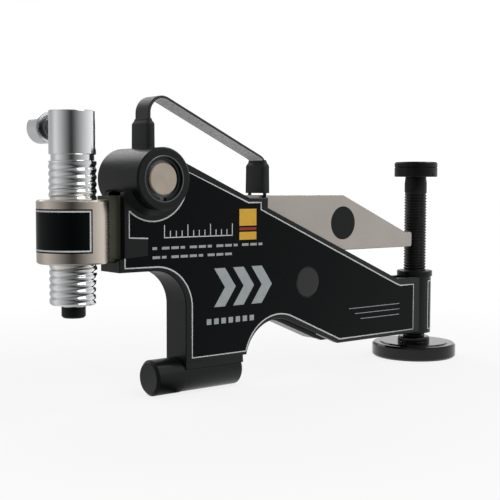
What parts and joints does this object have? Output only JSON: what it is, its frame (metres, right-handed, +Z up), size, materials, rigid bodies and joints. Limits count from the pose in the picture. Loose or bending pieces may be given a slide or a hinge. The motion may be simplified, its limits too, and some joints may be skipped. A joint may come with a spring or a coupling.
{
  "type": "flange alignment tool",
  "caption": "Hydraulic flange alignment tool: a welded side-plate body with a hook bar for a bolt hole, a sliding carriage with a screw-in cylinder and a drop leg",
  "frame": {"origin": "on the hook bar's axis, in the plane of the neck's flat face that rests on the flange", "axes": "+X from that face towards the drop leg, +Z up along the cylinder, +Y to the side away from the printed face"},
  "size_m": [0.4801, 0.1013, 0.2543],
  "materials": {
    "black_paint": "satin black powder coat on welded steel",
    "bare_steel": "ground steel",
    "spring_steel": "dark spring steel",
    "bronze": "turned bearing bronze",
    "black_oxide_steel": "black oxide on turned steel",
    "webbing": "rubber strap with a ribbed underside",
    "boot_rubber": "moulded matt rubber",
    "satin_nickel": "satin nickel plate on milled steel",
    "black_polymer": "black acetal",
    "seal_polyurethane": "polyurethane",
    "bright_zinc": "bright zinc plate",
    "plated_steel": "zinc-nickel plate",
    "bright_aluminium": "turned aluminium",
    "chromed_rod": "hard chrome"
  },
  "bodies": {
    "frame": {"front_side_plate": "black_paint", "rear_side_plate": "black_paint", "neck_core": "black_paint", "toe_core": "black_paint", "crown_spacer": "black_paint", "belly_bar": "black_paint", "hook_bar": "black_paint", "bar_welds": "black_paint", "load_tube": "black_paint", "front_tube_weld": "black_paint", "rear_tube_weld": "black_paint", "leg_boss": "black_paint", "handle_bridge": "black_paint", "front_circlip": "spring_steel", "rear_circlip": "spring_steel", "front_pin_bush": "bronze", "rear_pin_bush": "bronze", "cross_pin": "black_oxide_steel", "leg_nut": "black_oxide_steel", "handle_strap": "webbing", "left_boot": "boot_rubber", "right_boot": "boot_rubber"},
    "carriage": {"carriage_plate": "satin_nickel", "collar": "satin_nickel", "guide_discs": "black_polymer"},
    "load_roller": {"load_pin": "bare_steel"},
    "lower_roller": {"support_roller": "bare_steel", "roller_bush": "bronze"},
    "rod_guide": {"gland_bush": "bronze", "wiper_seal": "seal_polyurethane"},
    "cylinder": {"cylinder_barrel": "bright_zinc", "spring_anchor": "bright_zinc", "coupler_nipple": "plated_steel", "coupler_body": "plated_steel"},
    "cap": {"dust_cap": "bright_aluminium"},
    "rod": {"plunger": "chromed_rod", "piston_seal": "seal_polyurethane", "plunger_tip": "black_polymer", "return_spring": "spring_steel"},
    "foot": {"foot_pad": "black_oxide_steel", "thrust_washer": "bronze"},
    "leg": {"leg_screw": "black_oxide_steel", "leg_head": "black_oxide_steel", "head_pin": "spring_steel"}
  },
  "joints": [
    {"name": "carriage_slide", "type": "slide", "parent": "frame", "child": "carriage", "axis": [-1, 0, 0], "range_m": [0, 0.1]},
    {"name": "load_pin_roll", "type": "hinge", "parent": "frame", "child": "load_roller", "pos_m": [-0.033, 0, 0.1693], "axis": [0, 1, 0], "range_deg": [0, 430]},
    {"name": "lower_roller_roll", "type": "hinge", "parent": "frame", "child": "lower_roller", "pos_m": [0.1412, 0, 0.0736], "axis": [0, 1, 0], "range_deg": [-210, 0]},
    {"name": "cylinder_feed", "type": "slide", "parent": "carriage", "child": "rod_guide", "axis": [0, 0, 1], "range_m": [-0.0056, 0.028]},
    {"name": "cylinder_turn", "type": "hinge", "parent": "rod_guide", "child": "cylinder", "pos_m": [-0.0995, 0, 0.1285], "axis": [0, 0, 1], "range_deg": [-361, 1801]},
    {"name": "plunger_extend", "type": "slide", "parent": "rod_guide", "child": "rod", "axis": [0, 0, -1], "range_m": [0, 0.05], "stiffness_N_per_m": 1000, "springref_m": -0.02, "deforming": ["return_spring"]},
    {"name": "cap_turn", "type": "hinge", "parent": "cylinder", "child": "cap", "pos_m": [-0.0995, 0.047, 0.211], "axis": [0, 1, 0], "continuous": true},
    {"name": "leg_feed", "type": "slide", "parent": "frame", "child": "foot", "axis": [0, 0, -1], "range_m": [-0.003, 0.055]},
    {"name": "leg_turn", "type": "hinge", "parent": "foot", "child": "leg", "pos_m": [0.308, 0, 0.09], "axis": [0, 0, 1], "range_deg": [-6605, 365]}
  ],
  "couplings": [
    {"joint": "load_pin_roll", "follows": "carriage_slide", "rad_per_m": 74.074},
    {"joint": "lower_roller_roll", "follows": "carriage_slide", "rad_per_m": -36.232},
    {"joint": "cylinder_turn", "follows": "cylinder_feed", "rad_per_m": 1122},
    {"joint": "leg_turn", "follows": "leg_feed", "rad_per_m": -2094.4}
  ]
}
